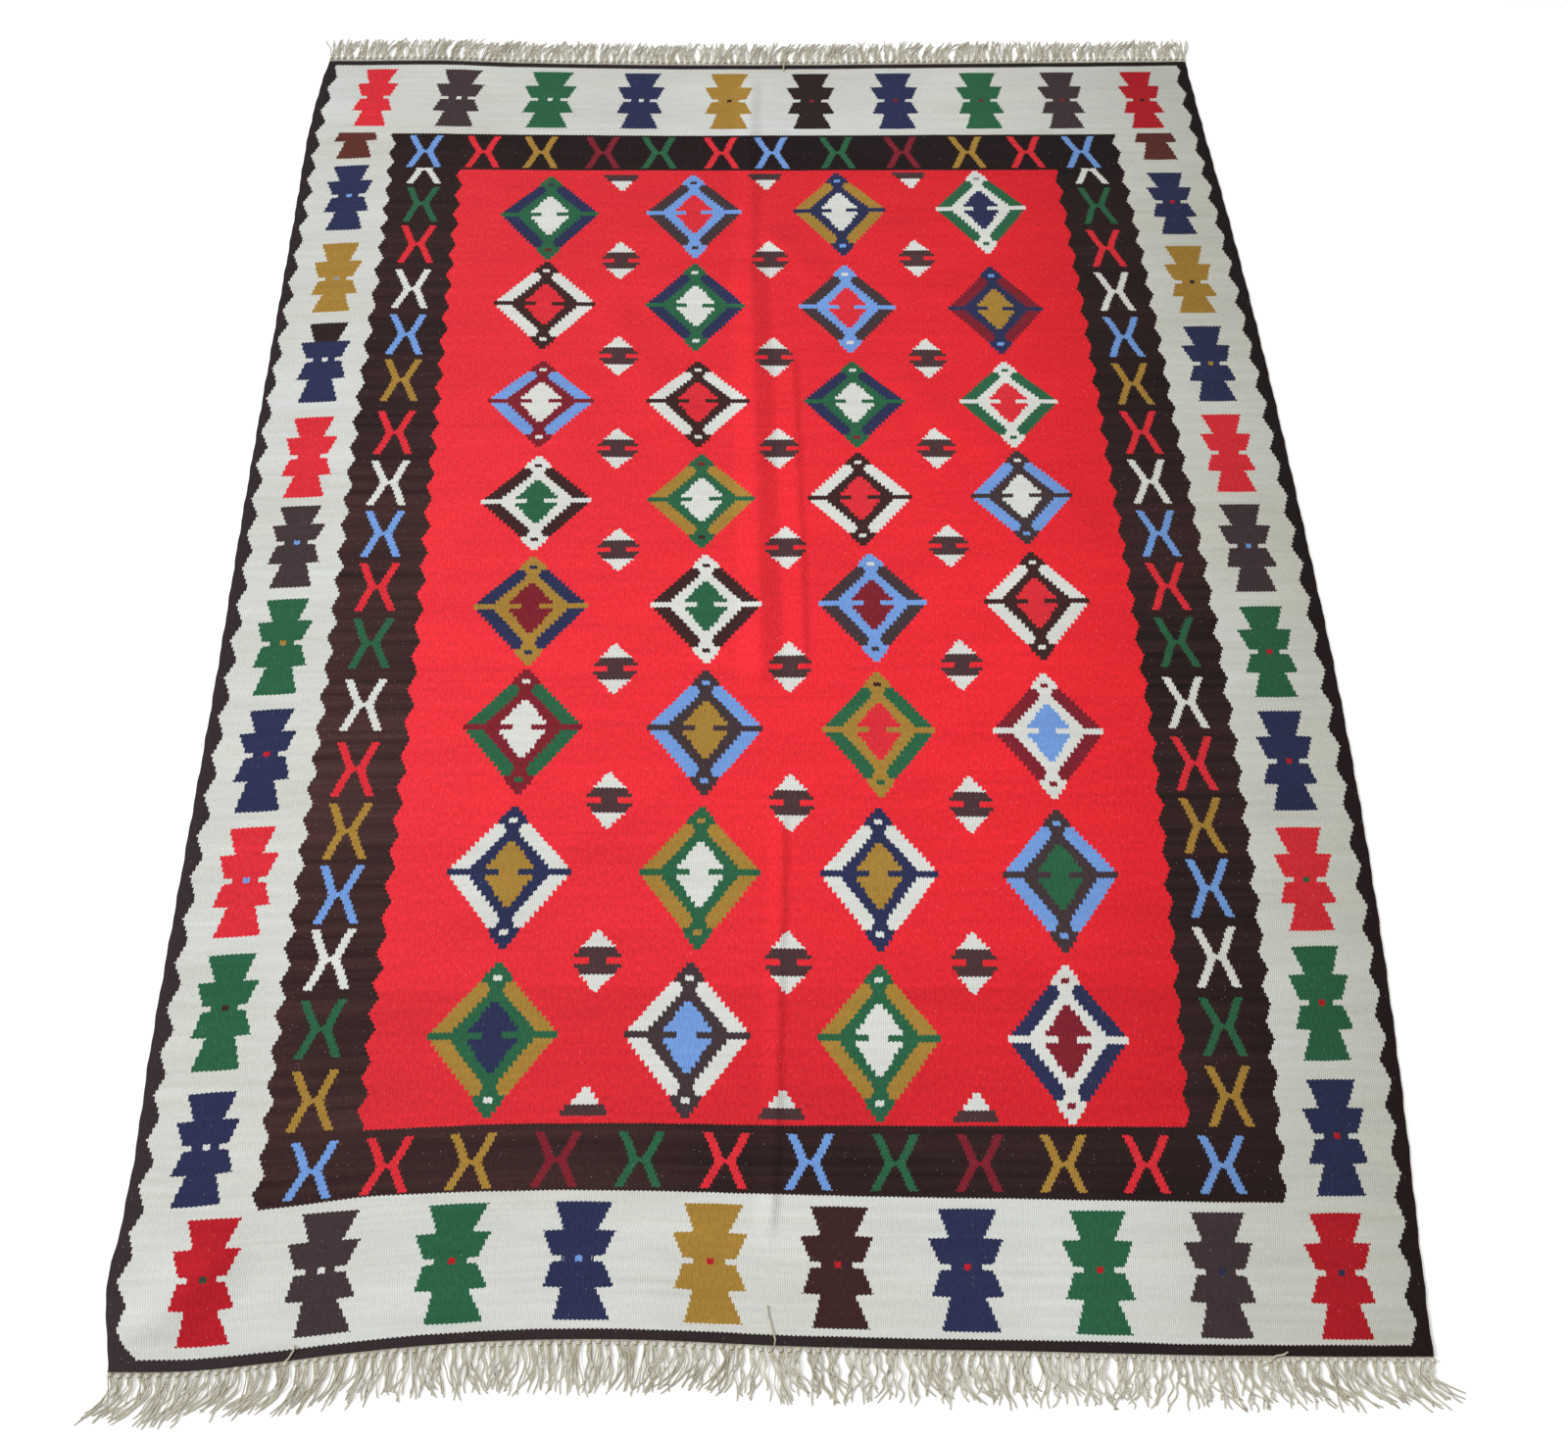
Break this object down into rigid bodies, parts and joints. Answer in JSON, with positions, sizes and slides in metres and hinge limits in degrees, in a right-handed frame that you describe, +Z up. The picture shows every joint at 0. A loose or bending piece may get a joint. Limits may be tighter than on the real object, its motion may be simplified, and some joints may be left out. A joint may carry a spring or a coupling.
{
  "type": "kilim rug",
  "caption": "Flat-woven wool kilim lying on the floor, red field of stepped diamonds in dark and white figured borders, knotted cotton fringe at both ends.",
  "frame": {"origin": "on the floor under the centre of the whole rug with its fringes", "axes": "+X across the rug to the viewer's right, +Y along the rug from the near end to the far end, +Z up, out of the rug's upper face"},
  "size_m": [2.0842, 3.091, 0.0139],
  "materials": {
    "wool_weave": "matt weft-faced wool tapestry weave in red, white, dark brown and motif colours",
    "cotton_warp": "matt twisted undyed cotton warp yarn, knotted in small groups"
  },
  "bodies": {
    "root": {"woven_rug": "wool_weave", "near_fringe": "cotton_warp", "far_fringe": "cotton_warp"}
  },
  "joints": []
}
